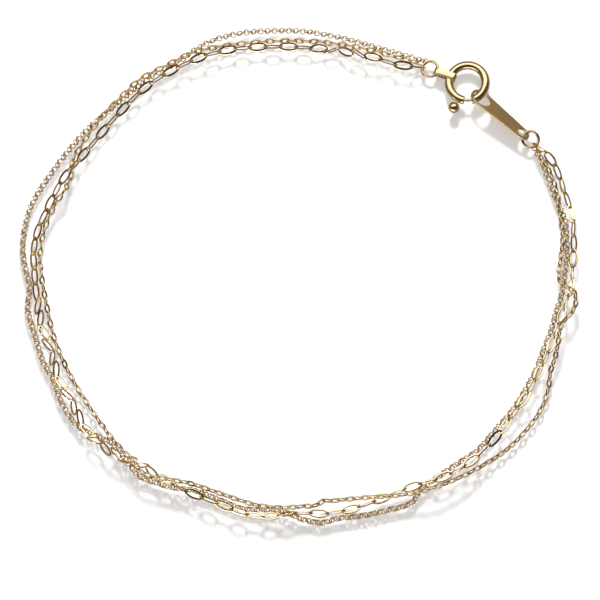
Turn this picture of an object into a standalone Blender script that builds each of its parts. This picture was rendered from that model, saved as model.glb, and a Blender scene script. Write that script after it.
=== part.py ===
"""Bracelet of three fine gold chains on a spring-ring clasp, lying in a loop."""

import math

import bmesh
import bpy
from mathutils import Matrix, Vector
from mathutils.geometry import interpolate_bezier

MM = 0.001

# Driving dimensions of the strands
OVAL_WIRE = 0.13 * MM
OVAL_WIDTH = 1.02 * MM
OVAL_PITCH = 1.69 * MM
OVAL_STATIONS = 10
OVAL_SIDES = 5
LINK_BITE = 0.02 * MM
CABLE_WIDTH = 0.60 * MM
SCREW_WIDTH = 0.75 * MM
STRAND_GAP = 0.06 * MM

# Driving dimensions of the clasp
CLASP_RADIUS = 2.04 * MM
CLASP_TUBE = 0.90 * MM
CLASP_BORE = 0.62 * MM
CLASP_HEIGHT = 0.93 * MM
CLASP_TILT = math.radians(5)
LIFTED_SIDE = math.radians(-45)
MOUTH_LEFT = math.radians(-100.5)
MOUTH_RIGHT = math.radians(-78)
TRIGGER_ANGLE = math.radians(-118)
TRIGGER_TRAVEL = math.radians(30)
SLOT_MARGIN = math.radians(5)
SLOT_HEIGHT = 0.42 * MM
BOLT_WIRE = 0.38 * MM
BOLT_TIP = math.radians(-73)
BOLT_TAIL = math.radians(-130)
STEM_WIRE = 0.28 * MM
BALL_RADIUS = 0.62 * MM
BALL_REACH = 3.20 * MM

# Driving dimensions of the band, the rings and the plate
BAND_ANGLE = math.radians(158)
BAND_WIDTH = 0.75 * MM
BAND_WALL = 0.15 * MM
BAND_HUG = 0.51 * MM
BAND_EYE = 0.27 * MM
BAND_LENGTH = 1.56 * MM
RING_WIRE = 0.30 * MM
RING_A_RADIUS = 0.88 * MM
RING_B_RADIUS = 0.905 * MM
RING_A_DIP = math.radians(4.6)
RING_B_DIP = math.radians(10)
RING_B_ANGLE = math.radians(-33)
PLATE_ANGLE = math.radians(-40.6)
PLATE_SIDE = 0.40 * MM
PLATE_LEAN = math.radians(45)
PLATE_THICKNESS = 0.25 * MM
PLATE_START = 2.42 * MM
PLATE_LENGTH = 5.88 * MM
PLATE_WIDTH_START = 2.66 * MM
PLATE_WIDTH_END = 1.88 * MM
PLATE_HOLE = 2.04 * MM
PLATE_EYE = 1.14 * MM
PLATE_HIGH = 1.09 * MM
PLATE_LOW = 0.80 * MM
PLATE_PULL = 0.30 * MM

# The loop is laid out on a square grid seen almost from above, so its rows are a little taller
COLUMN = 0.111 * MM
ROW = 0.1135 * MM
MIDDLE_COLUMN = 299.3
MIDDLE_ROW = 276.3
CLASP_COLUMN = 467.9
CLASP_ROW = 83.2

# The grid lies at this height, and the line of sight leans this far from upright
SEEN_HEIGHT = 0.4 * MM
SEEN_LEAN = math.tan(math.radians(12))

# Columns: grid column, grid row, from the plate's jump ring round to the clasp's
OVAL_ROUTE = (
    (535.2, 143.8), (545.7, 151.8), (556.5, 167), (563.5, 188), (571.2, 210), (574, 236),
    (573.4, 262), (571.5, 280), (566.8, 300), (556.6, 330), (545.5, 358), (535.2, 378.5),
    (523, 399.5), (505.2, 423.6), (494, 439), (474.2, 458.2), (443, 476.5), (412, 485.5),
    (379, 499), (350, 508.5), (319, 513), (303.6, 511.7), (286, 512.8), (269.5, 515.8),
    (254.4, 514.6), (238, 510.5), (208, 498.5), (193.4, 493), (165.8, 479.5), (152, 471.8),
    (141, 464.3), (130, 459.5), (108.6, 450), (95.6, 441), (88, 430), (74.5, 407), (61, 382),
    (52.7, 358), (43.8, 332), (37.4, 303), (35.4, 283), (33.3, 258), (33.6, 246), (36.8, 232),
    (43.6, 216), (52, 198), (62.5, 179), (70.5, 168.5), (83.4, 154.2), (102.2, 131.3),
    (122.7, 108.3), (144.4, 87), (170, 70.5), (198, 57.3), (227.7, 49), (258.4, 46.2),
    (289, 45.8), (319, 47.7), (345.7, 51), (373, 56), (390, 62.5), (404.4, 65), (424.5, 66.8),
)
CABLE_ROUTE = (
    (539.5, 153.5), (549.5, 170.5), (557.5, 193), (561.3, 220), (563, 240), (560.8, 258),
    (558.8, 277.5), (560.6, 282), (569, 288), (575.8, 294), (576.4, 299), (573.4, 310),
    (560.9, 324.5), (558.3, 339), (555, 357), (550.6, 369), (548.3, 387), (541.2, 408),
    (528.4, 426.8), (506.8, 448.8), (472, 470.4), (444.4, 482.8), (410.8, 492.6), (369, 496.6),
    (334.8, 499.7), (307.6, 505.2), (281, 506.8), (258, 504.6), (219.8, 492.6), (191, 482.8),
    (162, 477.3), (144.5, 473), (133, 459.8), (112.8, 438.6), (95.8, 415.6), (72.2, 378.5),
    (54.8, 339.6), (47, 307), (41.6, 276), (40, 252), (44.8, 228), (53.6, 206.5), (66.5, 186.5),
    (71.2, 174), (70.6, 166), (81.5, 144), (98, 120.5), (116.5, 100.5), (140.4, 78),
    (161.6, 67), (192.9, 51.5), (227.6, 44.6), (270, 40.4), (313.7, 40.4), (343.6, 43.8),
    (372.9, 49.6), (413, 61),
)
SCREW_ROUTE = (
    (540.8, 157), (545.9, 171.5), (551.9, 186.5), (558, 203), (564.5, 217), (566.8, 235),
    (567.2, 252), (564.6, 275), (561.8, 294), (556, 312), (550.6, 331.5), (543.6, 349),
    (535.2, 371), (525.5, 389), (513, 408.5), (496, 428.8), (476.4, 450.4), (456, 464),
    (438, 476.2), (425, 485.4), (418.3, 492), (412.5, 501), (405, 505), (389, 509),
    (363.6, 514.8), (337, 517.8), (322.5, 522), (313, 521), (300, 517.8), (290.8, 513.6),
    (276.5, 509.5), (242, 507.8), (218, 498.5), (194, 489.8), (171, 486.7), (157, 482.3),
    (140.5, 476), (130, 465), (121.5, 451.5), (111.6, 442.6), (94, 434.4), (81, 428),
    (73.5, 421), (61.8, 402), (52.7, 378), (43.8, 363), (38.5, 347), (35, 335), (29.5, 318),
    (27.4, 307), (29.8, 287), (26.8, 275), (23.2, 257), (22.6, 241), (30, 208), (43.8, 183.5),
    (84.6, 131.5), (103, 115), (150, 76.5), (184, 57), (196, 48), (215, 38.6), (240, 32.2),
    (265, 30), (300, 30), (330, 34.3), (390, 50), (411, 56),
)

# Columns: share of the strand's length, layer; a higher layer lies over a lower one
OVAL_LAYERS = ((0.0, 1.0), (1.0, 1.0))
CABLE_LAYERS = ((0.0, 2.0), (0.70, 2.0), (0.72, 0.5), (1.0, 0.5))
SCREW_LAYERS = ((0.0, 0.0), (1.0, 0.0))

# Columns: share of the strand's length, number of oval links up to there
OVAL_COUNTS = (
    (0.0, 0), (0.1695, 16.5), (0.3567, 33.5), (0.4762, 44.5), (0.5199, 49.5),
    (0.6272, 61), (0.7595, 73.5), (0.9251, 89.5), (0.9624, 93.5), (1.0, 97),
)

# Columns: number of the link, roll in degrees of every second link; the rest are a quarter on
OVAL_ROLLS = (
    (0, 50), (3, 35), (5, 90), (7, 45), (8, 30), (10, 15), (18, 20), (20, 25), (21, 70),
    (23, 95), (34, 98), (35, 142), (36, 195), (37, 212), (38, 225), (40, 235), (41, 262),
    (43, 290), (44, 315), (66, 315), (70, 275), (73, 258), (94, 258), (96, 225),
)


def clear_scene():
    for item in list(bpy.data.objects):
        bpy.data.objects.remove(item, do_unlink=True)


def gold(name, colour, roughness):
    """A polished or brushed gold alloy."""
    made = bpy.data.materials.new(name)
    made.use_nodes = True
    shader = made.node_tree.nodes["Principled BSDF"]
    shader.inputs["Base Color"].default_value = (*colour, 1.0)
    shader.inputs["Metallic"].default_value = 1.0
    shader.inputs["Roughness"].default_value = roughness
    return made


def table_value(table, share):
    """Reads a two-column table at a share, on straight lines between its rows."""
    for (start, low), (end, high) in zip(table, table[1:]):
        if share <= end:
            return low + (high - low) * (share - start) / (end - start)
    return table[-1][1]


def on_table(column, row):
    """The place on the table that a grid column and row stand for."""
    return Vector(((column - MIDDLE_COLUMN) * COLUMN, (MIDDLE_ROW - row) * ROW, 0.0))


def smooth_curve(route, step):
    """Points a step apart on the smooth curve through a route's points."""
    points = [on_table(column, row) for column, row in route]
    tangents = []
    for index, point in enumerate(points):
        before = points[max(index - 1, 0)]
        after = points[min(index + 1, len(points) - 1)]
        tangent = (point - before).normalized() + (after - point).normalized()
        tangents.append(tangent.normalized())
    curve = [points[0]]
    for index in range(len(points) - 1):
        start, end = points[index], points[index + 1]
        reach = (end - start).length / 3
        handles = start + tangents[index] * reach, end - tangents[index + 1] * reach
        curve += interpolate_bezier(start, handles[0], handles[1], end, 24)[1:]
    return evenly(curve, step)


def evenly(curve, step):
    """The same curve with its points a step apart."""
    total = sum((b - a).length for a, b in zip(curve, curve[1:]))
    count = max(1, round(total / step))
    spacing = total / count
    spaced = [curve[0].copy()]
    walked = 0.0
    for a, b in zip(curve, curve[1:]):
        length = (b - a).length
        while len(spaced) < count and walked + length >= spacing * len(spaced):
            spaced.append(a.lerp(b, (spacing * len(spaced) - walked) / length))
        walked += length
    spaced.append(curve[-1].copy())
    return spaced


def lay_strands(strands):
    """Lays strands on the table, each over the lower layers that it meets."""
    for strand in strands:
        strand["path"] = smooth_curve(strand["route"], 0.4 * MM)
        strand["seen"] = [point.y for point in strand["path"]]
        last = len(strand["path"]) - 1
        strand["layer"] = [table_value(strand["layers"], i / last) for i in range(last + 1)]
        for point in strand["path"]:
            point.z = strand["radius"]
    for _ in range(6):
        for strand in strands:
            lift(strand, [other for other in strands if other is not strand])


def lift(strand, others):
    """Raises a strand onto the lower ones, with slopes instead of steps, along the line of sight."""
    path = strand["path"]
    needed = []
    for point, layer in zip(path, strand["layer"]):
        height = point.z
        for other in others:
            reach = strand["radius"] + other["radius"] + STRAND_GAP
            for below, below_layer in zip(other["path"], other["layer"]):
                aside = math.hypot(point.x - below.x, point.y - below.y)
                if below_layer < layer and aside < reach:
                    height = max(height, below.z + math.sqrt(reach**2 - aside**2))
        needed.append(height)
    heights = needed[:]
    for _ in range(6):
        inner = zip(heights, heights[2:], needed[1:-1])
        heights[1:-1] = [max(need, (a + b) / 2) for a, b, need in inner]
    for point, height, seen in zip(path, heights, strand["seen"]):
        point.z = height
        point.y = seen - (height - SEEN_HEIGHT) * SEEN_LEAN


def thin_out(path, longest, sharpest):
    """Keeps a path's points where it bends, and a few on its straight runs."""
    kept = [path[0]]
    for before, point, after in zip(path, path[1:], path[2:]):
        run = (point - kept[-1]).length
        turned = (after - point).angle(point - kept[-1])
        if run >= longest or turned >= sharpest:
            kept.append(point)
    kept.append(path[-1])
    return kept


def strand_tube(name, strand, material):
    """A strand of links too fine for solids, as the tube that they fill."""
    points = thin_out(strand["path"], 2.4 * MM, math.radians(14))
    data = bpy.data.curves.new(name, "CURVE")
    data.dimensions = "3D"
    data.bevel_depth = strand["radius"]
    data.bevel_resolution = 2
    data.use_fill_caps = True
    spline = data.splines.new("POLY")
    spline.points.add(len(points) - 1)
    for slot, point in zip(spline.points, points):
        slot.co = (*point, 1.0)
    data.materials.append(material)
    made = bpy.data.objects.new(name, data)
    bpy.context.collection.objects.link(made)
    return made


def new_object(name, mesh_builder, material):
    """An object from a bmesh, shaded smooth over its shallow edges."""
    data = bpy.data.meshes.new(name)
    mesh_builder.to_mesh(data)
    mesh_builder.free()
    data.shade_smooth()
    data.set_sharp_from_angle(angle=math.radians(50))
    data.materials.append(material)
    made = bpy.data.objects.new(name, data)
    bpy.context.collection.objects.link(made)
    return made


def combine(target, tool, operation):
    """Joins a tool to its target or cuts it out, and removes the tool."""
    modifier = target.modifiers.new(operation, "BOOLEAN")
    modifier.operation = operation
    modifier.solver = "EXACT"
    modifier.object = tool
    bpy.context.view_layer.update()
    evaluated = target.evaluated_get(bpy.context.evaluated_depsgraph_get())
    result = bpy.data.meshes.new_from_object(evaluated)
    result.name = target.data.name
    target.modifiers.remove(modifier)
    target.data = result
    bpy.data.objects.remove(tool, do_unlink=True)


def ring_section(mesh_builder, ring_radius, wire, sides, turn=0.0, filled=False):
    """A wire's round section, standing on the ring that it will be swept along."""
    stand = Matrix.Translation((ring_radius, 0, 0)) @ Matrix.Rotation(math.pi / 2, 4, "X")
    section = bmesh.ops.create_circle(
        mesh_builder, cap_ends=filled, segments=sides, radius=wire / 2,
        matrix=stand @ Matrix.Rotation(turn, 4, "Z"),
    )
    return section["verts"]


def sweep(mesh_builder, geometry, start, end, steps, closed=False):
    """Turns a section about the Z axis, from one angle to another."""
    bmesh.ops.rotate(
        mesh_builder, verts=[g for g in geometry if isinstance(g, bmesh.types.BMVert)],
        cent=(0, 0, 0), matrix=Matrix.Rotation(start, 3, "Z"),
    )
    return bmesh.ops.spin(
        mesh_builder, geom=geometry, cent=(0, 0, 0), axis=(0, 0, 1), angle=end - start,
        steps=steps, use_merge=closed,
    )


def parts_of(verts):
    """The vertices with the edges and faces between them."""
    edges = {edge for vert in verts for edge in vert.link_edges}
    faces = {face for vert in verts for face in vert.link_faces}
    return list(verts) + list(edges) + list(faces)


def closed_ring(ring_radius, wire, stations, sides, turn=0.0):
    """A bmesh of a round closed ring of wire about the Z axis."""
    builder = bmesh.new()
    section = ring_section(builder, ring_radius, wire, sides, turn)
    sweep(builder, parts_of(section), 0.0, math.tau, stations, closed=True)
    bmesh.ops.remove_doubles(builder, verts=builder.verts, dist=wire / 100)
    bmesh.ops.recalc_face_normals(builder, faces=builder.faces)
    return builder


def open_arc(ring_radius, wire, start, end, steps, sides):
    """A bmesh of a solid wire bent along part of a ring."""
    builder = bmesh.new()
    section = ring_section(builder, ring_radius, wire, sides, filled=True)
    sweep(builder, parts_of(section), start, end, steps)
    bmesh.ops.recalc_face_normals(builder, faces=builder.faces)
    return builder


def oval_link():
    """A bmesh of one link, long along X, made by stretching a round ring into an oval."""
    half_step = math.pi / OVAL_STATIONS
    inner_end = (OVAL_PITCH - LINK_BITE) / 2
    half_length = inner_end / math.cos(half_step) + OVAL_WIRE / 2
    half_width = (OVAL_WIDTH - OVAL_WIRE) / 2
    builder = closed_ring(half_width, OVAL_WIRE, OVAL_STATIONS, OVAL_SIDES, turn=math.pi)
    bmesh.ops.rotate(
        builder, verts=builder.verts, cent=(0, 0, 0), matrix=Matrix.Rotation(half_step, 3, "Z")
    )
    for vert in builder.verts:
        around = math.atan2(vert.co.y, vert.co.x)
        vert.co.x += (half_length - half_width) * math.cos(around)
    return builder


def link_frames(joints, rolls):
    """The place, direction and roll of each link between two joints of a strand."""
    frames = []
    count = len(joints) - 1
    for index in range(count):
        span = joints[index + 1] - joints[index]
        along = span.normalized()
        across = Vector((0, 0, 1)).cross(along).normalized()
        up = along.cross(across)
        roll = math.radians(table_value(rolls, index) + 90 * (index % 2))
        side = across * math.cos(roll) + up * math.sin(roll)
        frame = Matrix((span / OVAL_PITCH, side, along.cross(side))).transposed().to_4x4()
        frame.translation = (joints[index] + joints[index + 1]) / 2
        frames.append(frame)
    return frames


def link_joints(path, counts):
    """The points where each link hangs in the next, closer together where the strand is slack."""
    fine = evenly(path, 0.02 * MM)
    joints = []
    for index, point in enumerate(fine):
        if table_value(counts, index / (len(fine) - 1)) >= len(joints):
            joints.append(point)
    return joints


def oval_chain(strand, material):
    """The strand of oval links, every second link joined to the links that it hangs in."""
    joints = link_joints(strand["path"], OVAL_COUNTS)
    template = bpy.data.meshes.new("oval_link")
    builder = oval_link()
    builder.to_mesh(template)
    builder.free()
    halves = [bmesh.new(), bmesh.new()]
    for index, frame in enumerate(link_frames(joints, OVAL_ROLLS)):
        half = halves[index % 2]
        known = len(half.verts)
        half.from_mesh(template)
        half.verts.ensure_lookup_table()
        bmesh.ops.transform(half, matrix=frame, verts=half.verts[known:])
    chain = new_object("oval_chain", halves[0], material)
    others = new_object("oval_chain_others", halves[1], material)
    combine(chain, others, "UNION")
    bpy.data.meshes.remove(template)
    return chain


def clasp_frame():
    """An empty at the clasp's centre, its Z axis the axis that the bolt turns about."""
    frame = bpy.data.objects.new("clasp_frame", None)
    bpy.context.collection.objects.link(frame)
    hinge = Vector((math.cos(LIFTED_SIDE + math.pi / 2), math.sin(LIFTED_SIDE + math.pi / 2), 0))
    place = on_table(CLASP_COLUMN, CLASP_ROW) + Vector((0, 0, CLASP_HEIGHT))
    frame.matrix_world = Matrix.Translation(place) @ Matrix.Rotation(-CLASP_TILT, 4, hinge)
    return frame


def spring_ring_tube(frame, material):
    """The clasp's hollow tube, open at its mouth and slotted outside for the trigger."""
    builder = bmesh.new()
    section = ring_section(builder, CLASP_RADIUS, CLASP_TUBE, 10, filled=True)
    wall = (CLASP_TUBE - CLASP_BORE) / 2
    filled = section[0].link_faces[:]
    bmesh.ops.inset_region(builder, faces=filled, thickness=wall, use_boundary=True)
    bore = max(builder.faces, key=lambda face: len(face.verts))
    bmesh.ops.delete(builder, geom=[bore], context="FACES_ONLY")
    sweep(builder, parts_of(builder.verts), MOUTH_RIGHT, MOUTH_LEFT + math.tau, 28)
    bmesh.ops.recalc_face_normals(builder, faces=builder.faces)
    tube = new_object("spring_ring_tube", builder, material)
    slot = new_object("slot", slot_cutter(), material)
    combine(tube, slot, "DIFFERENCE")
    tube.parent = frame
    return tube


def slot_cutter():
    """A bmesh of the curved bar that the trigger's slot is cut with."""
    builder = bmesh.new()
    middle = CLASP_RADIUS + CLASP_TUBE / 2
    stand = Matrix.Translation((middle, 0, 0)) @ Matrix.Rotation(math.pi / 2, 4, "X")
    shape = Matrix.Diagonal((CLASP_TUBE / 2, SLOT_HEIGHT / 2, 1, 1))
    grid = bmesh.ops.create_grid(builder, x_segments=1, y_segments=1, size=1, matrix=stand @ shape)
    start = TRIGGER_ANGLE + SLOT_MARGIN
    end = TRIGGER_ANGLE - TRIGGER_TRAVEL - SLOT_MARGIN
    sweep(builder, parts_of(grid["verts"]), start, end, 6)
    bmesh.ops.recalc_face_normals(builder, faces=builder.faces)
    return builder


def trigger_bolt(frame, material):
    """The sliding bolt across the clasp's mouth, with its stem and ball trigger."""
    bolt = new_object(
        "trigger_bolt", open_arc(CLASP_RADIUS, BOLT_WIRE, BOLT_TAIL, BOLT_TIP, 8, 8), material
    )
    outward = Matrix.Rotation(TRIGGER_ANGLE, 4, "Z")
    stem = bmesh.new()
    stem_length = BALL_REACH - CLASP_RADIUS
    middle = Matrix.Translation((CLASP_RADIUS + stem_length / 2, 0, 0))
    bmesh.ops.create_cone(
        stem, cap_ends=True, segments=8, radius1=STEM_WIRE / 2, radius2=STEM_WIRE / 2,
        depth=stem_length, matrix=outward @ middle @ Matrix.Rotation(math.pi / 2, 4, "Y"),
    )
    combine(bolt, new_object("stem", stem, material), "UNION")
    ball = bmesh.new()
    bmesh.ops.create_uvsphere(
        ball, u_segments=14, v_segments=9, radius=BALL_RADIUS,
        matrix=outward @ Matrix.Translation((BALL_REACH, 0, 0)),
    )
    combine(bolt, new_object("ball", ball, material), "UNION")
    bolt.parent = frame
    return bolt


def tapered_outline(radius_start, radius_end, length, steps):
    """Points round two circles and the straight sides that touch both."""
    lean = math.asin((radius_start - radius_end) / length)
    outline = []
    for centre, radius, start in ((length, radius_end, -1), (0.0, radius_start, 1)):
        first = start * (math.pi / 2 - lean)
        last = -first if start < 0 else math.tau - first
        for step in range(steps + 1):
            angle = first + (last - first) * step / steps
            outline.append(Vector((centre + radius * math.cos(angle), radius * math.sin(angle), 0)))
    return outline


def tapered_slab(name, radii, length, thickness, steps, holes, material):
    """A flat tapered piece with round ends, and a round hole through each end."""
    builder = bmesh.new()
    outline = tapered_outline(radii[0], radii[1], length, steps)
    verts = [builder.verts.new(point - Vector((0, 0, thickness / 2))) for point in outline]
    face = builder.faces.new(verts)
    risen = bmesh.ops.extrude_face_region(builder, geom=[face])
    lifted = [g for g in risen["geom"] if isinstance(g, bmesh.types.BMVert)]
    bmesh.ops.translate(builder, verts=lifted, vec=(0, 0, thickness))
    bmesh.ops.recalc_face_normals(builder, faces=builder.faces)
    slab = new_object(name, builder, material)
    for centre, radius, segments in ((0.0, holes[0], 20), (length, holes[1], 14)):
        drill = bmesh.new()
        bmesh.ops.create_cone(
            drill, cap_ends=True, segments=segments, radius1=radius, radius2=radius,
            depth=thickness * 3, matrix=Matrix.Translation((centre, 0, 0)),
        )
        combine(slab, new_object("drill", drill, material), "DIFFERENCE")
    return slab


def clasp_band(frame, material):
    """The band wrapped round the clasp's tube, with a small eye for the jump ring."""
    radii = BAND_HUG + BAND_WALL, BAND_EYE + BAND_WALL
    band = tapered_slab(
        "clasp_band", radii, BAND_LENGTH, BAND_WIDTH, 12, (BAND_HUG, BAND_EYE), material
    )
    band.parent = frame
    band.matrix_parent_inverse = Matrix()
    reach = Matrix.Translation((CLASP_RADIUS, 0, 0)) @ Matrix.Rotation(math.pi / 2, 4, "X")
    band.matrix_basis = Matrix.Rotation(BAND_ANGLE, 4, "Z") @ reach
    return band


def jump_ring(name, held_at, heading, dip, radius, material):
    """A jump ring through an eye at one point, leaning down away from it."""
    builder = closed_ring(radius, RING_WIRE, 20, 6)
    ring = new_object(name, builder, material)
    level_away = Vector((math.cos(heading), math.sin(heading), 0))
    away = level_away * math.cos(dip) - Vector((0, 0, math.sin(dip)))
    level = Vector((-math.sin(heading), math.cos(heading), 0))
    turned = Matrix((away, level, away.cross(level))).transposed().to_4x4()
    ring.matrix_world = Matrix.Translation(held_at + away * radius) @ turned
    return ring


def tag_plate(material):
    """The tapered plate that the clasp shuts on, leaning on its lower side."""
    along = Vector((math.cos(PLATE_ANGLE), math.sin(PLATE_ANGLE), 0))
    raised_side = Vector((math.sin(PLATE_ANGLE), -math.cos(PLATE_ANGLE), 0))
    line = on_table(CLASP_COLUMN, CLASP_ROW) + raised_side * PLATE_SIDE
    start = line + along * PLATE_START + Vector((0, 0, PLATE_HIGH))
    end = line + along * (PLATE_START + PLATE_LENGTH) + Vector((0, 0, PLATE_LOW))
    plate = tapered_slab(
        "tag_plate", (PLATE_WIDTH_START / 2, PLATE_WIDTH_END / 2), (end - start).length,
        PLATE_THICKNESS, 14, (PLATE_HOLE / 2, PLATE_EYE / 2), material,
    )
    axis = (end - start).normalized()
    side = raised_side * math.cos(PLATE_LEAN) + Vector((0, 0, math.sin(PLATE_LEAN)))
    side = (side - axis * side.dot(axis)).normalized()
    turned = Matrix((axis, -side, axis.cross(-side))).transposed().to_4x4()
    plate.matrix_world = Matrix.Translation(start) @ turned
    return plate, end + axis * PLATE_PULL


def build():
    clear_scene()
    polished = gold("polished_gold", (0.80, 0.58, 0.27), 0.18)
    brushed = gold("brushed_gold", (0.55, 0.40, 0.20), 0.35)
    oval = {"route": OVAL_ROUTE, "radius": OVAL_WIDTH / 2, "layers": OVAL_LAYERS}
    cable = {"route": CABLE_ROUTE, "radius": CABLE_WIDTH / 2, "layers": CABLE_LAYERS}
    screw = {"route": SCREW_ROUTE, "radius": SCREW_WIDTH / 2, "layers": SCREW_LAYERS}
    lay_strands((screw, oval, cable))
    oval_chain(oval, polished)
    strand_tube("cable_chain", cable, polished)
    strand_tube("screw_chain", screw, polished)
    frame = clasp_frame()
    spring_ring_tube(frame, polished)
    trigger_bolt(frame, polished)
    clasp_band(frame, polished)
    eye = frame.matrix_world @ (Matrix.Rotation(BAND_ANGLE, 3, "Z")
                                @ Vector((CLASP_RADIUS + BAND_LENGTH, 0, 0)))
    jump_ring("jump_ring_clasp", eye, BAND_ANGLE, RING_A_DIP, RING_A_RADIUS, polished)
    plate, pulled = tag_plate(brushed)
    jump_ring("jump_ring_plate", pulled, RING_B_ANGLE, RING_B_DIP, RING_B_RADIUS, polished)


build()
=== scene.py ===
"""The looks of a fine three-strand gold bracelet on a spring-ring clasp, laid in a loop."""

import math
import random

import bmesh
import bpy
from mathutils import Matrix, Vector
from mathutils.geometry import interpolate_bezier


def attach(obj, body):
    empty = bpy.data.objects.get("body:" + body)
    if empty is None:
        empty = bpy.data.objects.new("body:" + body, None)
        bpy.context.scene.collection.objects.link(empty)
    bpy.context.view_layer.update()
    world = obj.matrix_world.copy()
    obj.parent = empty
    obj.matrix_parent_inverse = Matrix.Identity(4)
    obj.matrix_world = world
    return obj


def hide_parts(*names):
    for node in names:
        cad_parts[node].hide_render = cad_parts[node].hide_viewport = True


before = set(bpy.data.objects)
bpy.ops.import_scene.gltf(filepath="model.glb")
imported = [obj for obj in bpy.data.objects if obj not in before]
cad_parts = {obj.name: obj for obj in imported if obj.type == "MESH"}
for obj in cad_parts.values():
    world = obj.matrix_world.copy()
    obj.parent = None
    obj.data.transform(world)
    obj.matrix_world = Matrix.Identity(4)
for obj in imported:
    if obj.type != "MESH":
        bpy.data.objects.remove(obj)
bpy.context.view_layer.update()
MM = 0.001


# The clasp's tube is a hollow ring of polished 18 carat gold, rolled from sheet and seamed inside.
# It is open at its mouth, where the bolt crosses, and slotted outside for the trigger's stem.
# Places are read off a square grid seen almost from above, so its rows are a little taller.
COLUMN = 0.111 * MM
ROW = 0.1135 * MM
MIDDLE_COLUMN = 299.3
MIDDLE_ROW = 276.3
CLASP_COLUMN = 467.9
CLASP_ROW = 83.2
CLASP_HEIGHT = 0.93 * MM
CLASP_TILT = math.radians(5)
LIFTED_SIDE = math.radians(-45)
CLASP_RADIUS = 2.04 * MM
CLASP_TUBE = 0.94 * MM
CLASP_BORE = 0.64 * MM
MOUTH_LEFT = math.radians(-100.5)
MOUTH_RIGHT = math.radians(-78)
TUBE_SIDES = 24
TUBE_STEPS = 96
TRIGGER_ANGLE = math.radians(-118)
TRIGGER_TRAVEL = math.radians(30)
SLOT_MARGIN = math.radians(5)
SLOT_HEIGHT = 0.46 * MM
TUBE_EDGE = 0.03 * MM
NEAR_MOUTH = 0.02
GOLD = (0.93, 0.75, 0.46)
DEEP_GOLD = (0.83, 0.63, 0.35)
PATCH_SCALE = 900
MARK_SCALE = 9000
MARK_DEPTH = 0.004 * MM
PATCH_DULLNESS = 0.10
MARK_DULLNESS = 0.06


def on_table(column, row):
    """The place on the table that a grid column and row stand for."""
    return Vector(((column - MIDDLE_COLUMN) * COLUMN, (MIDDLE_ROW - row) * ROW, 0.0))


class Socket:
    """An output of a shader node, so that maths on it reads as plain expressions."""

    def __init__(self, tree, output):
        self.tree = tree
        self.output = output

    def node(self, kind, settings=None, **values):
        """Another node of the same material, with its settings and then its sockets."""
        made = self.tree.nodes.new(kind)
        for name, value in (settings or {}).items():
            setattr(made, name, value)
        for name, value in values.items():
            key = int(name[1:]) if name[0] == "_" else name.replace("_", " ")
            if isinstance(value, Socket):
                self.tree.links.new(value.output, made.inputs[key])
            else:
                made.inputs[key].default_value = value
        return made

    def maths(self, operation, first, second):
        node = self.node("ShaderNodeMath", {"operation": operation}, _0=first, _1=second)
        return Socket(self.tree, node.outputs[0])

    def __add__(self, other):
        return self.maths("ADD", self, other)

    def __radd__(self, other):
        return self.maths("ADD", other, self)

    def __sub__(self, other):
        return self.maths("SUBTRACT", self, other)

    def __rsub__(self, other):
        return self.maths("SUBTRACT", other, self)

    def __mul__(self, other):
        return self.maths("MULTIPLY", self, other)

    def __rmul__(self, other):
        return self.maths("MULTIPLY", other, self)


def noise(place, scale, detail, stretch=(1, 1, 1), turn=0.0):
    """Soft random patches, from 0 to 1, on a surface, packed closer where the stretch is above 1."""
    mapped = place.node(
        "ShaderNodeMapping", {"vector_type": "TEXTURE"}, Vector=place, Rotation=(0, 0, turn),
        Scale=[1 / size for size in stretch],
    )
    node = place.node(
        "ShaderNodeTexNoise", Vector=Socket(place.tree, mapped.outputs[0]),
        Scale=scale, Detail=detail, Roughness=0.6,
    )
    return Socket(place.tree, node.outputs["Fac"])


def gold_metal(name, colour, deep, roughness, scratches, stretch=(1, 1, 1), turn=0.0):
    """A gold alloy with faint drawing marks, a little uneven in polish, deeper where it is worn."""
    made = bpy.data.materials.new(name)
    made.use_nodes = True
    tree = made.node_tree
    shader = tree.nodes["Principled BSDF"]
    place = Socket(tree, tree.nodes.new("ShaderNodeTexCoord").outputs["Object"])
    patches = noise(place, PATCH_SCALE, 3)
    marks = noise(place, MARK_SCALE, 4, stretch, turn)
    tint = place.node(
        "ShaderNodeMix", {"data_type": "RGBA"}, _0=patches, _6=(*colour, 1), _7=(*deep, 1)
    )
    bump = place.node("ShaderNodeBump", Strength=scratches, Distance=MARK_DEPTH, Height=marks)
    polish = roughness + patches * PATCH_DULLNESS + marks * MARK_DULLNESS
    tree.links.new(tint.outputs[2], shader.inputs["Base Color"])
    tree.links.new(polish.output, shader.inputs["Roughness"])
    tree.links.new(bump.outputs[0], shader.inputs["Normal"])
    shader.inputs["Metallic"].default_value = 1.0
    return made


POLISHED = gold_metal("polished_gold", GOLD, DEEP_GOLD, roughness=0.16, scratches=0.25)


def finish_piece(name, builder, materials, body, sharpest=50):
    """A finished piece from a bmesh, smooth over its shallow edges, riding on its body."""
    data = bpy.data.meshes.new(name)
    builder.to_mesh(data)
    builder.free()
    data.shade_smooth()
    data.set_sharp_from_angle(angle=math.radians(sharpest))
    for material in materials:
        data.materials.append(material)
    made = bpy.data.objects.new(name, data)
    bpy.context.collection.objects.link(made)
    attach(made, body)
    return made


def round_section(builder, radius, wire, sides, start, filled=False):
    """A wire's round section, standing at an angle on the ring that it will be swept along."""
    stand = Matrix.Translation((radius, 0, 0)) @ Matrix.Rotation(math.pi / 2, 4, "X")
    section = bmesh.ops.create_circle(
        builder, cap_ends=filled, segments=sides, radius=wire / 2,
        matrix=Matrix.Rotation(start, 4, "Z") @ stand,
    )["verts"]
    edges = dict.fromkeys(edge for vert in section for edge in vert.link_edges)
    faces = dict.fromkeys(face for vert in section for face in vert.link_faces)
    return section + list(edges) + list(faces)


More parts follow.
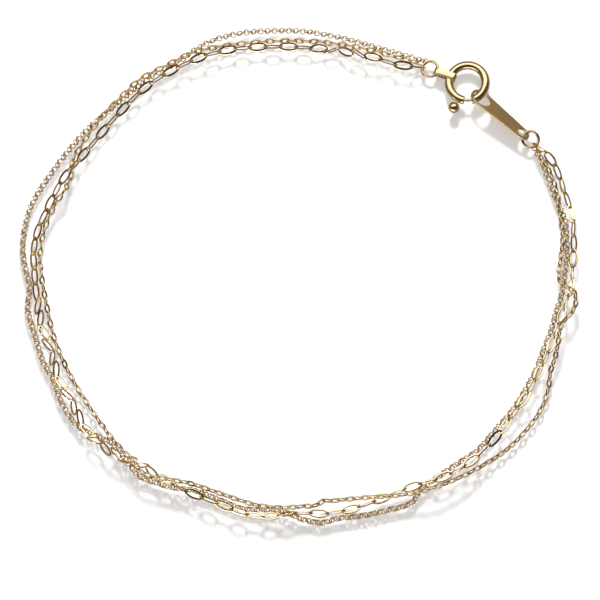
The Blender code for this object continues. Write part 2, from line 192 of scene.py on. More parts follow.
def sweep(builder, section, turn, steps, closed=False):
    """Turns a section about the Z axis."""
    bmesh.ops.spin(
        builder, geom=section, cent=(0, 0, 0), axis=(0, 0, 1), angle=turn, steps=steps,
        use_merge=closed,
    )


def soften(builder, width, segments, sharpest=50, material=-1):
    """Rounds the edges of a bmesh that are sharper than so many degrees."""
    sharp = [
        edge for edge in builder.edges
        if edge.is_manifold and edge.calc_face_angle() > math.radians(sharpest)
    ]
    bmesh.ops.bevel(
        builder, geom=sharp, offset=width, segments=segments, profile=0.5,
        affect="EDGES", material=material,
    )


# The clasp's frame: its Z axis is the one that the bolt turns about
hinge = Vector((math.cos(LIFTED_SIDE + math.pi / 2), math.sin(LIFTED_SIDE + math.pi / 2), 0))
clasp_place = on_table(CLASP_COLUMN, CLASP_ROW) + Vector((0, 0, CLASP_HEIGHT))
clasp_frame = Matrix.Translation(clasp_place) @ Matrix.Rotation(-CLASP_TILT, 4, hinge)

tube = bmesh.new()
gap_turn = MOUTH_LEFT + math.tau - MOUTH_RIGHT
for wire in (CLASP_TUBE, CLASP_BORE):
    section = round_section(tube, CLASP_RADIUS, wire, TUBE_SIDES, MOUTH_RIGHT)
    sweep(tube, section, gap_turn, TUBE_STEPS)
slot_faces = []
for face in tube.faces:
    middle = face.calc_center_median()
    around = math.atan2(middle.y, middle.x)
    outside = math.hypot(middle.x, middle.y) > CLASP_RADIUS
    in_slot = TRIGGER_ANGLE - TRIGGER_TRAVEL - SLOT_MARGIN < around < TRIGGER_ANGLE + SLOT_MARGIN
    if outside and in_slot and abs(middle.z) < SLOT_HEIGHT / 2:
        slot_faces.append(face)
bmesh.ops.delete(tube, geom=slot_faces, context="FACES")
rims = [edge for edge in tube.edges if edge.is_boundary]


def rim_edges(test):
    """The open rim edges of the tube whose place round the clasp passes a test."""
    chosen = []
    for edge in rims:
        middle = (edge.verts[0].co + edge.verts[1].co) / 2
        if test(math.atan2(middle.y, middle.x)):
            chosen.append(edge)
    return chosen


for mouth in (MOUTH_LEFT, MOUTH_RIGHT):
    ends = rim_edges(lambda around: abs(around - mouth) < NEAR_MOUTH)
    bmesh.ops.triangle_fill(tube, edges=ends, use_beauty=True)
bmesh.ops.bridge_loops(tube, edges=rim_edges(lambda around: around < MOUTH_LEFT - NEAR_MOUTH))
bmesh.ops.recalc_face_normals(tube, faces=tube.faces)
soften(tube, TUBE_EDGE, 2, sharpest=60)
bmesh.ops.transform(tube, matrix=clasp_frame, verts=tube.verts)
clasp_tube = finish_piece("clasp_tube", tube, [POLISHED], "bracelet")
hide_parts("spring_ring_tube")


# The bolt is a bent pin that slides round inside the tube against a hidden coil spring.
# Its stem comes out through the slot and carries the ball that a fingernail pulls back.
BOLT_WIRE = 0.38 * MM
BOLT_TIP = math.radians(-73)
BOLT_TAIL = math.radians(-130)
STEM_WIRE = 0.28 * MM
BALL_RADIUS = 0.62 * MM
BALL_REACH = 3.20 * MM
BOLT_SIDES = 16
BOLT_STEPS = 24
BOLT_EDGE = 0.07 * MM

bolt = bmesh.new()
section = round_section(bolt, CLASP_RADIUS, BOLT_WIRE, BOLT_SIDES, BOLT_TAIL, filled=True)
sweep(bolt, section, BOLT_TIP - BOLT_TAIL, BOLT_STEPS)
bmesh.ops.recalc_face_normals(bolt, faces=bolt.faces)
soften(bolt, BOLT_EDGE, 3)
outward = Matrix.Rotation(TRIGGER_ANGLE, 4, "Z")
stem_length = BALL_REACH - CLASP_RADIUS
bmesh.ops.create_cone(
    bolt, cap_ends=True, segments=20, radius1=STEM_WIRE / 2, radius2=STEM_WIRE / 2,
    depth=stem_length,
    matrix=outward @ Matrix.Translation((CLASP_RADIUS + stem_length / 2, 0, 0))
    @ Matrix.Rotation(math.pi / 2, 4, "Y"),
)
bmesh.ops.create_uvsphere(
    bolt, u_segments=36, v_segments=20, radius=BALL_RADIUS,
    matrix=outward @ Matrix.Translation((BALL_REACH, 0, 0)) @ Matrix.Rotation(math.pi / 2, 4, "Y"),
)
bmesh.ops.transform(bolt, matrix=clasp_frame, verts=bolt.verts)
bolt_and_ball = finish_piece("bolt_and_ball", bolt, [POLISHED], "trigger")
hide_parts("trigger_bolt")


# The band is a strip of gold folded round the tube, its two ends soldered together round a small
# eye that the first jump ring passes through.
BAND_ANGLE = math.radians(158)
BAND_WIDTH = 0.82 * MM
BAND_WALL = 0.11 * MM
BAND_HUG = 0.49 * MM
BAND_EYE = 0.27 * MM
BAND_CORNER = 0.20 * MM
BAND_ROLL = 0.50 * MM
BAND_LENGTH = 1.56 * MM
BAND_ARC_STEPS = 20
BAND_EDGE = 0.04 * MM


def pierced_slab(arcs, thickness, steps, holes):
    """A bmesh of a flat piece, from the arcs round its outline and the round holes through it.

    An arc is its centre's x and y, radius, first and last angle; a hole is its x and radius.
    """
    slab = bmesh.new()
    corners = []
    for x, y, radius, first, last in arcs:
        for step in range(steps + 1):
            angle = first + (last - first) * step / steps
            place = x + radius * math.cos(angle), y + radius * math.sin(angle), 0
            corners.append(slab.verts.new(place))
    rims = [slab.edges.new(pair) for pair in zip(corners, corners[1:] + corners[:1])]
    for centre, radius in holes:
        hole = bmesh.ops.create_circle(
            slab, segments=2 * steps, radius=radius, matrix=Matrix.Translation((centre, 0, 0))
        )
        rims += dict.fromkeys(edge for vert in hole["verts"] for edge in vert.link_edges)
    bmesh.ops.triangle_fill(slab, edges=rims, use_beauty=True)
    bmesh.ops.translate(slab, verts=slab.verts, vec=(0, 0, -thickness / 2))
    risen = bmesh.ops.extrude_face_region(slab, geom=slab.faces[:])
    lifted = [item for item in risen["geom"] if isinstance(item, bmesh.types.BMVert)]
    bmesh.ops.translate(slab, verts=lifted, vec=(0, 0, thickness))
    bmesh.ops.recalc_face_normals(slab, faces=slab.faces)
    return slab


quarter = math.pi / 2
block = BAND_HUG + BAND_WALL - BAND_CORNER
roll_place = BAND_LENGTH + BAND_EYE + BAND_WALL - BAND_ROLL
band = pierced_slab(
    (
        (roll_place, 0.0, BAND_ROLL, -quarter, quarter),
        (-block, block, BAND_CORNER, quarter, 2 * quarter),
        (-block, -block, BAND_CORNER, 2 * quarter, 3 * quarter),
    ),
    thickness=BAND_WIDTH, steps=BAND_ARC_STEPS, holes=((0.0, BAND_HUG), (BAND_LENGTH, BAND_EYE)),
)
soften(band, BAND_EDGE, 2, sharpest=60)
band_stand = Matrix.Translation((CLASP_RADIUS, 0, 0)) @ Matrix.Rotation(math.pi / 2, 4, "X")
bmesh.ops.transform(
    band, matrix=clasp_frame @ Matrix.Rotation(BAND_ANGLE, 4, "Z") @ band_stand, verts=band.verts
)
folded_band = finish_piece("folded_band", band, [POLISHED], "bracelet")
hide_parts("clasp_band")


# The jump rings are round gold wire, closed and soldered. One joins the band to the three
# strands, the other joins them to the plate.
RING_WIRE = 0.34 * MM
RING_A_RADIUS = 0.88 * MM
RING_B_RADIUS = 0.905 * MM
RING_A_DIP = math.radians(4.6)
RING_B_DIP = math.radians(10)
RING_B_ANGLE = math.radians(-33)
RING_STATIONS = 56
RING_SIDES = 14


def wire_ring(radius, wire, stations, sides):
    """A bmesh of a round closed ring of wire about the Z axis."""
    ring = bmesh.new()
    sweep(ring, round_section(ring, radius, wire, sides, 0.0), math.tau, stations, closed=True)
    bmesh.ops.remove_doubles(ring, verts=ring.verts, dist=wire / 100)
    bmesh.ops.recalc_face_normals(ring, faces=ring.faces)
    return ring


def ring_frame(held_at, heading, dip, radius):
    """The frame of a ring through an eye at one point, leaning down away from it."""
    level_away = Vector((math.cos(heading), math.sin(heading), 0))
    away = level_away * math.cos(dip) - Vector((0, 0, math.sin(dip)))
    level = Vector((-math.sin(heading), math.cos(heading), 0))
    turned = Matrix((away, level, away.cross(level))).transposed().to_4x4()
    return Matrix.Translation(held_at + away * radius) @ turned


eye_reach = Matrix.Rotation(BAND_ANGLE, 3, "Z") @ Vector((CLASP_RADIUS + BAND_LENGTH, 0, 0))
ring_a_frame = ring_frame(clasp_frame @ eye_reach, BAND_ANGLE, RING_A_DIP, RING_A_RADIUS)
ring_a = wire_ring(RING_A_RADIUS, RING_WIRE, RING_STATIONS, RING_SIDES)
bmesh.ops.transform(ring_a, matrix=ring_a_frame, verts=ring_a.verts)
clasp_ring = finish_piece("clasp_ring", ring_a, [POLISHED], "bracelet")
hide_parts("jump_ring_clasp")


# The tag plate is stamped from flat gold sheet, brushed on its faces and polished on its edges.
# The clasp shuts on its large hole, and it leans on its lower side as it lies.
PLATE_ANGLE = math.radians(-40.6)
PLATE_SIDE = 0.40 * MM
PLATE_LEAN = math.radians(45)
PLATE_THICKNESS = 0.25 * MM
PLATE_START = 2.42 * MM
PLATE_LENGTH = 5.88 * MM
PLATE_WIDTH_START = 2.66 * MM
PLATE_WIDTH_END = 1.88 * MM
PLATE_HOLE = 2.12 * MM
PLATE_HOLE_SHIFT = 0.05 * MM
PLATE_EYE = 1.14 * MM
PLATE_HIGH = 1.09 * MM
PLATE_LOW = 0.80 * MM
PLATE_PULL = 0.30 * MM
PLATE_ARC_STEPS = 24
PLATE_EDGE = 0.06 * MM
SATIN_GOLD = (0.78, 0.61, 0.36)
DEEP_SATIN_GOLD = (0.66, 0.50, 0.28)
BRUSHING = (0.15, 1, 1)

BRUSHED = gold_metal(
    "brushed_gold", SATIN_GOLD, DEEP_SATIN_GOLD, roughness=0.36, scratches=0.7,
    stretch=BRUSHING, turn=PLATE_ANGLE,
)

plate_along = Vector((math.cos(PLATE_ANGLE), math.sin(PLATE_ANGLE), 0))
raised_side = Vector((math.sin(PLATE_ANGLE), -math.cos(PLATE_ANGLE), 0))
plate_line = on_table(CLASP_COLUMN, CLASP_ROW) + raised_side * PLATE_SIDE
plate_start = plate_line + plate_along * PLATE_START + Vector((0, 0, PLATE_HIGH))
plate_end = plate_line + plate_along * (PLATE_START + PLATE_LENGTH) + Vector((0, 0, PLATE_LOW))
plate_axis = (plate_end - plate_start).normalized()
plate_side = raised_side * math.cos(PLATE_LEAN) + Vector((0, 0, math.sin(PLATE_LEAN)))
plate_side = (plate_side - plate_axis * plate_side.dot(plate_axis)).normalized()
plate_turn = Matrix((plate_axis, -plate_side, plate_axis.cross(-plate_side))).transposed()
plate_length = (plate_end - plate_start).length
taper = math.asin((PLATE_WIDTH_START - PLATE_WIDTH_END) / 2 / plate_length)
plate = pierced_slab(
    (
        (plate_length, 0.0, PLATE_WIDTH_END / 2, taper - quarter, quarter - taper),
        (0.0, 0.0, PLATE_WIDTH_START / 2, quarter - taper, 3 * quarter + taper),
    ),
    thickness=PLATE_THICKNESS, steps=PLATE_ARC_STEPS,
    holes=((PLATE_HOLE_SHIFT, PLATE_HOLE / 2), (plate_length, PLATE_EYE / 2)),
)
soften(plate, PLATE_EDGE, 3, sharpest=60, material=1)
bmesh.ops.transform(
    plate, matrix=Matrix.Translation(plate_start) @ plate_turn.to_4x4(), verts=plate.verts
)
stamped_plate = finish_piece(
    "stamped_plate", plate, [BRUSHED, POLISHED], "bracelet"
)
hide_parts("tag_plate")

ring_b_frame = ring_frame(
    plate_end + plate_axis * PLATE_PULL, RING_B_ANGLE, RING_B_DIP, RING_B_RADIUS
)
ring_b = wire_ring(RING_B_RADIUS, RING_WIRE, RING_STATIONS, RING_SIDES)
bmesh.ops.transform(ring_b, matrix=ring_b_frame, verts=ring_b.verts)
plate_ring = finish_piece("plate_ring", ring_b, [POLISHED], "bracelet")
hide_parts("jump_ring_plate")


# The three strands lie as they were dropped, from the plate's jump ring round to the clasp's.
# Each is a finished length of machine-made chain whose end links were opened, hung on the jump
# rings and soldered shut, and it rests on the table or on the strands that it crosses.
SEEN_HEIGHT = 0.4 * MM
SEEN_LEAN = math.tan(math.radians(12))
STRAND_GAP = 0.06 * MM
PATH_STEP = 0.4 * MM
CURVE_STEPS = 24
EASING_ROUNDS = 6
LAYING_ROUNDS = 6

# Routes, as seen from the camera: the column and row of each point that a strand passes
OVAL_ROUTE = (
    (535.2, 143.8), (545.7, 151.8), (556.5, 167), (563.5, 188), (571.2, 210), (574, 236),
    (573.4, 262), (571.5, 280), (566.8, 300), (556.6, 330), (545.5, 358), (535.2, 378.5),
    (523, 399.5), (505.2, 423.6), (494, 439), (474.2, 458.2), (443, 476.5), (412, 485.5),
    (379, 499), (350, 508.5), (319, 513), (303.6, 511.7), (286, 512.8), (269.5, 515.8),
    (254.4, 514.6), (238, 510.5), (208, 498.5), (193.4, 493), (165.8, 479.5), (152, 471.8),
    (141, 464.3), (130, 459.5), (108.6, 450), (95.6, 441), (88, 430), (74.5, 407), (61, 382),
    (52.7, 358), (43.8, 332), (37.4, 303), (35.4, 283), (33.3, 258), (33.6, 246), (36.8, 232),
    (43.6, 216), (52, 198), (62.5, 179), (70.5, 168.5), (83.4, 154.2), (102.2, 131.3),
    (122.7, 108.3), (144.4, 87), (170, 70.5), (198, 57.3), (227.7, 49), (258.4, 46.2),
    (289, 45.8), (319, 47.7), (345.7, 51), (373, 56), (390, 62.5), (404.4, 65), (424.5, 66.8),
)
CABLE_ROUTE = (
    (539.5, 153.5), (549.5, 170.5), (557.5, 193), (561.3, 220), (563, 240), (560.8, 258),
    (558.8, 277.5), (560.6, 282), (569, 288), (575.8, 294), (576.4, 299), (573.4, 310),
    (560.9, 324.5), (558.3, 339), (555, 357), (550.6, 369), (548.3, 387), (541.2, 408),
    (528.4, 426.8), (506.8, 448.8), (472, 470.4), (444.4, 482.8), (410.8, 492.6), (369, 496.6),
    (334.8, 499.7), (326, 500.6), (323.6, 498.8), (318, 504.6), (315, 505.2), (307.6, 505.2),
    (281, 506.8), (258, 504.6), (219.8, 492.6), (191, 482.8),
    (162, 477.3), (144.5, 473), (133, 459.8), (112.8, 438.6), (95.8, 415.6), (72.2, 378.5),
    (54.8, 339.6), (47, 307), (41.6, 276), (40, 252), (44.8, 228), (53.6, 206.5), (66.5, 186.5),
    (71.2, 174), (70.6, 166), (81.5, 144), (98, 120.5), (116.5, 100.5), (140.4, 78),
    (161.6, 67), (192.9, 51.5), (227.6, 44.6), (270, 40.4), (313.7, 40.4), (343.6, 43.8),
    (372.9, 49.6), (413, 61),
)
SCREW_ROUTE = (
    (540.8, 157), (545.9, 171.5), (551.9, 186.5), (558, 203), (564.5, 217), (566.8, 235),
    (567.2, 252), (564.6, 275), (561.8, 294), (556, 312), (550.6, 331.5), (543.6, 349),
    (535.2, 371), (525.5, 389), (513, 408.5), (496, 428.8), (476.4, 450.4), (456, 464),
    (438, 476.2), (425, 485.4), (418.3, 492), (412.5, 501), (405, 505), (389, 509),
    (363.6, 514.8), (337, 517.8), (322.5, 522), (313, 521), (300, 517.8), (290.8, 513.6),
    (276.5, 509.5), (242, 507.8), (218, 498.5), (194, 489.8), (171, 486.7), (157, 482.3),
    (140.5, 476), (130, 465), (121.5, 451.5), (111.6, 442.6), (94, 434.4), (81, 428),
    (73.5, 421), (61.8, 402), (52.7, 378), (43.8, 363), (38.5, 347), (35, 335), (29.5, 318),
    (27.4, 307), (29.8, 287), (26.8, 275), (23.2, 257), (22.6, 241), (30, 208), (43.8, 183.5),
    (84.6, 131.5), (103, 115), (150, 76.5), (184, 57), (196, 48), (215, 38.6), (240, 32.2),
    (265, 30), (300, 30), (330, 34.3), (390, 50), (411, 56),
)

# Columns: share of the strand's length, layer; a higher layer lies over a lower one
OVAL_LAYERS = ((0.0, 1.0), (1.0, 1.0))
CABLE_LAYERS = ((0.0, 2.0), (0.70, 2.0), (0.72, 0.5), (1.0, 0.5))
SCREW_LAYERS = ((0.0, 0.0), (1.0, 0.0))


def table_value(table, share):
    """Reads a two-column table at a share, on straight lines between its rows."""
    for (start, low), (end, high) in zip(table, table[1:]):
        if share <= end:
            return low + (high - low) * (share - start) / (end - start)
    return table[-1][1]


def evenly(curve, step):
    """The same curve with its points a step apart."""
    total = sum((b - a).length for a, b in zip(curve, curve[1:]))
    count = max(1, round(total / step))
    spacing = total / count
    spaced = [curve[0].copy()]
    walked = 0.0
    for a, b in zip(curve, curve[1:]):
        length = (b - a).length
        while len(spaced) < count and walked + length >= spacing * len(spaced):
            spaced.append(a.lerp(b, (spacing * len(spaced) - walked) / length))
        walked += length
    spaced.append(curve[-1].copy())
    return spaced


def smooth_curve(route, step):
    """Points a step apart on the smooth curve through a route's points."""
    points = [on_table(column, row) for column, row in route]
    tangents = []
    for index, point in enumerate(points):
        before = points[max(index - 1, 0)]
        after = points[min(index + 1, len(points) - 1)]
        tangent = (point - before).normalized() + (after - point).normalized()
        tangents.append(tangent.normalized())
    curve = [points[0]]
    for index in range(len(points) - 1):
        start, end = points[index], points[index + 1]
        reach = (end - start).length / 3
        handles = start + tangents[index] * reach, end - tangents[index + 1] * reach
        curve += interpolate_bezier(start, *handles, end, CURVE_STEPS)[1:]
    return evenly(curve, step)


def lift(strand, others):
    """Raises a strand onto the lower ones, with slopes instead of steps, along the line of sight."""
    path = strand["path"]
    needed = []
    for point, layer in zip(path, strand["layer"]):
        height = point.z
        for other in others:
            reach = strand["radius"] + other["radius"] + STRAND_GAP
            for below, below_layer in zip(other["path"], other["layer"]):
                aside = math.hypot(point.x - below.x, point.y - below.y)
                if below_layer < layer and aside < reach:
                    height = max(height, below.z + math.sqrt(reach**2 - aside**2))
        needed.append(height)
    heights = needed[:]
    for _ in range(EASING_ROUNDS):
        inner = zip(heights, heights[2:], needed[1:-1])
        heights[1:-1] = [max(need, (a + b) / 2) for a, b, need in inner]
    for point, height, seen in zip(path, heights, strand["seen"]):
        point.z = height
        point.y = seen - (height - SEEN_HEIGHT) * SEEN_LEAN


def lay_strands(strands):
    """Lays strands on the table, each over the lower layers that it meets."""
    for strand in strands:
        strand["path"] = smooth_curve(strand["route"], PATH_STEP)
        strand["seen"] = [point.y for point in strand["path"]]
        last = len(strand["path"]) - 1
        strand["layer"] = [table_value(strand["layers"], i / last) for i in range(last + 1)]
        for point in strand["path"]:
            point.z = strand["radius"]
    for _ in range(LAYING_ROUNDS):
        for strand in strands:
            lift(strand, [other for other in strands if other is not strand])


oval = {"route": OVAL_ROUTE, "radius": 0.51 * MM, "layers": OVAL_LAYERS}
cable = {"route": CABLE_ROUTE, "radius": 0.30 * MM, "layers": CABLE_LAYERS}
screw = {"route": SCREW_ROUTE, "radius": 0.375 * MM, "layers": SCREW_LAYERS}
lay_strands((screw, oval, cable))


# The oval chain: large flattened links of drawn 18 carat gold wire, each bent round a form,
# hung in the next a quarter turn on, and soldered shut. Its end links hold the jump rings.
OVAL_WIRE = 0.265 * MM
OVAL_WIDTH = 1.10 * MM
OVAL_PITCH = 1.69 * MM
OVAL_STATIONS = 20
OVAL_SIDES = 6
OVAL_FLATNESS = 0.55
JOINT_STEP = 0.02 * MM
CHAIN_GOLD = gold_metal("chain_gold", GOLD, DEEP_GOLD, roughness=0.03, scratches=0.12)

# Columns: share of the strand's length, number of oval links up to there
OVAL_COUNTS = (
    (0.0, 0), (0.1695, 16.5), (0.3567, 33.5), (0.4762, 44.5), (0.5199, 49.5),
    (0.6272, 61), (0.7595, 73.5), (0.9251, 89.5), (0.9624, 93.5), (1.0, 97),
)

# Columns: number of the link, its roll in degrees beside the quarter turn from link to link
OVAL_ROLLS = (
    (0, 82), (1, 75), (3, 35), (5, 90), (7, 45), (8, 30), (10, 15), (18, 20), (20, 25), (21, 70),
    (23, 95), (34, 98), (35, 142), (36, 195), (37, 212), (38, 225), (40, 235), (41, 262),
    (43, 290), (44, 315), (66, 315), (72, 303), (94, 303), (96, 290),
)


def stretched_link(length, width, wire, stations, sides, flatness):
    """A bmesh of one oval link, long along X, from a round ring of wire, and pressed flatter."""
    across = (width - wire) / 2
    link = wire_ring(across, wire, stations, sides)
    for vert in link.verts:
        around = math.atan2(vert.co.y, vert.co.x)
        vert.co.x += ((length - wire) / 2 - across) * math.cos(around)
        vert.co.z *= flatness
    return link


def link_joints(path, counts):
    """The points where each link hangs in the next, closer together where the strand is slack."""
    fine = evenly(path, JOINT_STEP)
    joints = []
    for index, point in enumerate(fine):
        if table_value(counts, index / (len(fine) - 1)) >= len(joints):
            joints.append(point)
    return joints


def quarter_rolls(table, joints):
    """The roll of each link between the joints: a quarter turn from the last, and the table's."""
    return [
        math.radians(table_value(table, index) + 90 * index) for index in range(len(joints) - 1)
    ]


def link_frames(joints, rolls, pitch):
    """The place and turn of each link: a link nods where the next joint is nearer than its pitch."""
    frames = []
    for index, roll in enumerate(rolls):
        span = joints[index + 1] - joints[index]
        along = span.normalized()
        across = Vector((0, 0, 1)).cross(along).normalized()
        up = along.cross(across)
        side = across * math.cos(roll) + up * math.sin(roll)
        stretch = max(1.0, span.length / pitch)
        turned = Matrix((along * stretch, side, along.cross(side))).transposed().to_4x4()
        nod = Matrix.Rotation(math.acos(min(1.0, span.length / pitch)), 4, "Y")
        turned.translation = (joints[index] + joints[index + 1]) / 2
        frames.append(turned @ nod)
    return frames


def chain_of(link, frames):
    """A bmesh with a copy of one link in each frame."""
    template = bpy.data.meshes.new("link")
    link.to_mesh(template)
    link.free()
    chain = bmesh.new()
    for placed in frames:
        known = len(chain.verts)
        chain.from_mesh(template)
        chain.verts.ensure_lookup_table()
        bmesh.ops.transform(chain, matrix=placed, verts=chain.verts[known:])
    bpy.data.meshes.remove(template)
    return chain


oval_joints = link_joints(oval["path"], OVAL_COUNTS)
oval_frames = link_frames(oval_joints, quarter_rolls(OVAL_ROLLS, oval_joints), OVAL_PITCH)
oval_link = stretched_link(
    OVAL_PITCH + 2 * OVAL_WIRE, OVAL_WIDTH, OVAL_WIRE, OVAL_STATIONS, OVAL_SIDES, OVAL_FLATNESS
)
oval_links = finish_piece(
    "oval_links", chain_of(oval_link, oval_frames), [CHAIN_GOLD], "bracelet",
    sharpest=60,
)
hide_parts("oval_chain")


# The cable chain: small oval links of a finer gold wire, hung and soldered in the same way, each
# a quarter turn on from the last, so that flat and edge-on links follow in turn.
CABLE_WIRE = 0.23 * MM
CABLE_WIDTH = 0.72 * MM
CABLE_PITCH = 0.82 * MM
CABLE_FLATNESS = 0.65
CABLE_STATIONS = 12
CABLE_SIDES = 6
CABLE_END_B = math.radians(-14)
CABLE_END_A = math.radians(-22)

# Columns: number of the link, its roll in degrees beside the quarter turn from link to link
CABLE_ROLLS = (
    (0, 75), (5, 40), (60, 25), (90, 25), (105, 24), (145, 24), (160, 26), (196, 26), (203, 75),
)

# Columns: share of the strand's length, number of cable links up to there
CABLE_COUNTS = (
    (0.0, 0), (0.3247, 66.5), (0.3553, 72.5), (0.3765, 76.5), (0.4276, 86.5), (0.4677, 94.5),
    (0.8759, 178.5), (0.9821, 200.5), (1.0, 204),
)


def hung(path, turn_b, turn_a):
    """A strand's path with its ends drawn on to the wires of the two jump rings."""
    start = ring_b_frame @ (Matrix.Rotation(turn_b, 3, "Z") @ Vector((RING_B_RADIUS, 0, 0)))
    end = ring_a_frame @ (Matrix.Rotation(turn_a, 3, "Z") @ Vector((RING_A_RADIUS, 0, 0)))
    return [start] + path + [end]


cable_path = hung(cable["path"], CABLE_END_B, CABLE_END_A)
cable_joints = link_joints(cable_path, CABLE_COUNTS)
cable_frames = link_frames(cable_joints, quarter_rolls(CABLE_ROLLS, cable_joints), CABLE_PITCH)
cable_link = stretched_link(
    CABLE_PITCH + 2 * CABLE_WIRE, CABLE_WIDTH, CABLE_WIRE, CABLE_STATIONS, CABLE_SIDES,
    CABLE_FLATNESS,
)
cable_links = finish_piece(
    "cable_links", chain_of(cable_link, cable_frames), [CHAIN_GOLD], "bracelet",
    sharpest=75,
)
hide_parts("cable_chain")


# The screw chain: hundreds of small round rings of the finest gold wire, soldered shut. They hang
# so close, each about a quarter turn on from the last, that they wind like a screw's thread.
SCREW_WIRE = 0.135 * MM
SCREW_WIDTH = 0.75 * MM
SCREW_PITCH = 0.41 * MM
SCREW_ROCK = math.radians(25)
SCREW_UNEVEN = math.radians(9)
SCREW_SEED = 4
SCREW_STATIONS = 10
SCREW_SIDES = 5
STRETCHED_FROM = 440
SCREW_END_B = math.radians(-38)
SCREW_END_A = math.radians(-46)

# Columns: share of the strand's length, number of rings up to there; it is stretched at its end
SCREW_COUNTS = ((0.0, 0), (0.25, 130), (0.42, 236), (0.60, 330), (0.80, 450), (1.0, 535))

screw_path = hung(screw["path"], SCREW_END_B, SCREW_END_A)
screw_joints = link_joints(screw_path, SCREW_COUNTS)
uneven = random.Random(SCREW_SEED)
screw_rolls = []
for index in range(len(screw_joints) - 1):
    turn = math.pi / 2 * index
    rock = SCREW_ROCK * (1 + math.cos(turn) * (index > STRETCHED_FROM))
    screw_rolls.append(turn + rock + uneven.uniform(-SCREW_UNEVEN, SCREW_UNEVEN))
screw_frames = link_frames(screw_joints, screw_rolls, SCREW_PITCH)
screw_ring = wire_ring(
    (SCREW_WIDTH - SCREW_WIRE) / 2, SCREW_WIRE, SCREW_STATIONS, SCREW_SIDES
)
screw_links = finish_piece(
    "screw_links", chain_of(screw_ring, screw_frames), [CHAIN_GOLD], "bracelet",
    sharpest=170,
)
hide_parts("screw_chain")


# The table is a clear sheet that the bracelet lies on, with a white board under it, so that the
# soft shadows fall apart from the chains. Polished gold mirrors a grey card instead of the board,
# which keeps its edges dark.
BOARD_DROP = 0.60 * MM
CARD_DROP = 0.59 * MM
TABLE_SIZE = 0.6
BOARD_WHITE = (0.92, 0.92, 0.92)
CARD_GREY = (0.27, 0.21, 0.13)
MATT = 0.9
SHEET_IOR = 1.3
SHEET_ROUGHNESS = 0.02


def clear_material(name):
    """A clear sheet's material: light goes through, and a little is mirrored at low angles."""
    made = bpy.data.materials.new(name)
    made.use_nodes = True
    tree = made.node_tree
    tree.nodes.remove(tree.nodes["Principled BSDF"])
    fresnel = tree.nodes.new("ShaderNodeFresnel")
    fresnel.inputs["IOR"].default_value = SHEET_IOR
    share = Socket(tree, fresnel.outputs[0])
    through = share.node("ShaderNodeBsdfTransparent")
    gloss = share.node("ShaderNodeBsdfGlossy", Roughness=SHEET_ROUGHNESS)
    blend = share.node(
        "ShaderNodeMixShader", _0=share, _1=Socket(tree, through.outputs[0]),
        _2=Socket(tree, gloss.outputs[0]),
    )
    tree.links.new(blend.outputs[0], tree.nodes["Material Output"].inputs["Surface"])
    return made


def matt_material(name, colour):
    """A matt material of one colour."""
    made = bpy.data.materials.new(name)
    made.use_nodes = True
    shader = made.node_tree.nodes["Principled BSDF"]
    shader.inputs["Base Color"].default_value = (*colour, 1)
    shader.inputs["Roughness"].default_value = MATT
    return made


def unseen_by(thing, *rays):
    """Hides a board or a light from some kinds of ray."""
    for ray in rays:
        setattr(thing, "visible_" + ray, False)


def level_board(name, drop, material):
    """A level square board under the bracelet, so far below the table's top."""
    builder = bmesh.new()
    bmesh.ops.create_grid(
        builder, x_segments=1, y_segments=1, size=TABLE_SIZE / 2,
        matrix=Matrix.Translation((0, 0, -drop)),
    )
    data = bpy.data.meshes.new(name)
    builder.to_mesh(data)
    builder.free()
    data.materials.append(material)
    board = bpy.data.objects.new(name, data)
    bpy.context.collection.objects.link(board)
    return board


clear_sheet = level_board("clear_sheet", 0.0, clear_material("clear_sheet"))
unseen_by(clear_sheet, "diffuse", "glossy", "shadow")
white_board = level_board("white_board", BOARD_DROP, matt_material("white_board", BOARD_WHITE))
unseen_by(white_board, "glossy")
grey_card = level_board("grey_card", CARD_DROP, matt_material("grey_card", CARD_GREY))
unseen_by(grey_card, "camera", "diffuse", "transmission", "shadow")


# The studio has four soft oblong lights, each facing the bracelet. The small key behind it casts
# the shadows, and the broad fill above casts none. The gold mirrors only the long panel behind
# and the low strip in front, so the rest of it stays dark. Sizes are metres, power is watts.
WORLD_COLOUR = (1.0, 0.84, 0.64)
WORLD_STRENGTH = 0.06


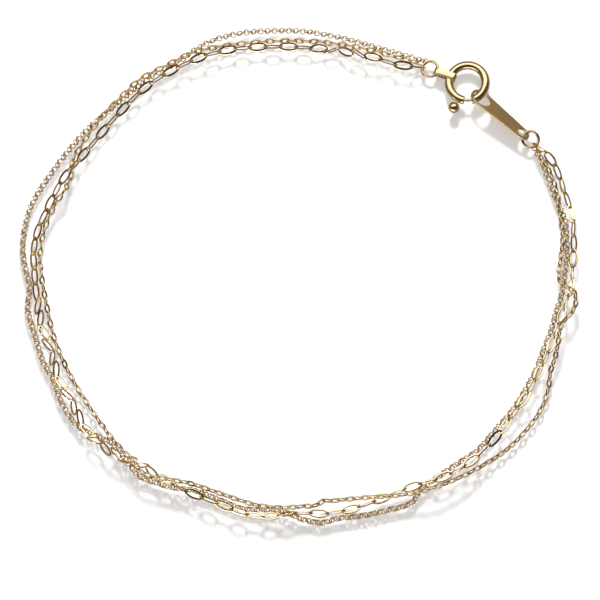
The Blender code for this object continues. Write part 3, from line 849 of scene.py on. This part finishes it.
def soft_light(name, place, width, height, power):
    """An oblong studio light at a place, facing the middle of the loop."""
    data = bpy.data.lights.new(name, "AREA")
    data.shape = "RECTANGLE"
    data.size = width
    data.size_y = height
    data.energy = power
    light = bpy.data.objects.new(name, data)
    bpy.context.collection.objects.link(light)
    light.location = place
    light.rotation_mode = "QUATERNION"
    light.rotation_quaternion = (-Vector(place)).to_track_quat("-Z", "Y")
    return light


key = soft_light("key_light", (0, 0.335, 0.371), width=0.09, height=0.09, power=2.25)
fill = soft_light("fill_light", (0, 0.05, 0.6), width=0.8, height=0.8, power=3.6)
panel = soft_light("back_panel", (-0.05, 0.294, 0.405), width=0.9, height=0.38, power=1.85)
strip = soft_light("front_strip", (-0.14, -0.46, 0.07), width=0.8, height=0.12, power=1.4)
for light in (key, fill):
    unseen_by(light, "glossy")
for light in (panel, strip):
    unseen_by(light, "diffuse")
fill.data.use_shadow = False

world = bpy.data.worlds.new("studio")
world.use_nodes = True
backdrop = world.node_tree.nodes["Background"]
backdrop.inputs["Color"].default_value = (*WORLD_COLOUR, 1)
backdrop.inputs["Strength"].default_value = WORLD_STRENGTH
bpy.context.scene.world = world
bpy.context.scene.view_settings.view_transform = "Standard"


# The camera looks down at the loop from a little in front. Its very long lens stands far off, so
# near and far links look the same size.
CAMERA_HEIGHT = math.radians(78)
CAMERA_DISTANCE = 1.5
VIEW_WIDTH = 66.6 * MM
VIEW_CENTRE = Vector((0.08 * MM, -2.69 * MM, 0.4 * MM))
lens = bpy.data.cameras.new("camera")
lens.sensor_width = 36
lens.lens = lens.sensor_width * CAMERA_DISTANCE / VIEW_WIDTH
lens.clip_start = 0.1
lens.clip_end = 10
camera = bpy.data.objects.new("camera", lens)
bpy.context.collection.objects.link(camera)
sight = Vector((0, -math.cos(CAMERA_HEIGHT), math.sin(CAMERA_HEIGHT)))
camera.location = VIEW_CENTRE + sight * CAMERA_DISTANCE
camera.rotation_mode = "QUATERNION"
camera.rotation_quaternion = sight.to_track_quat("Z", "Y")
bpy.context.scene.camera = camera
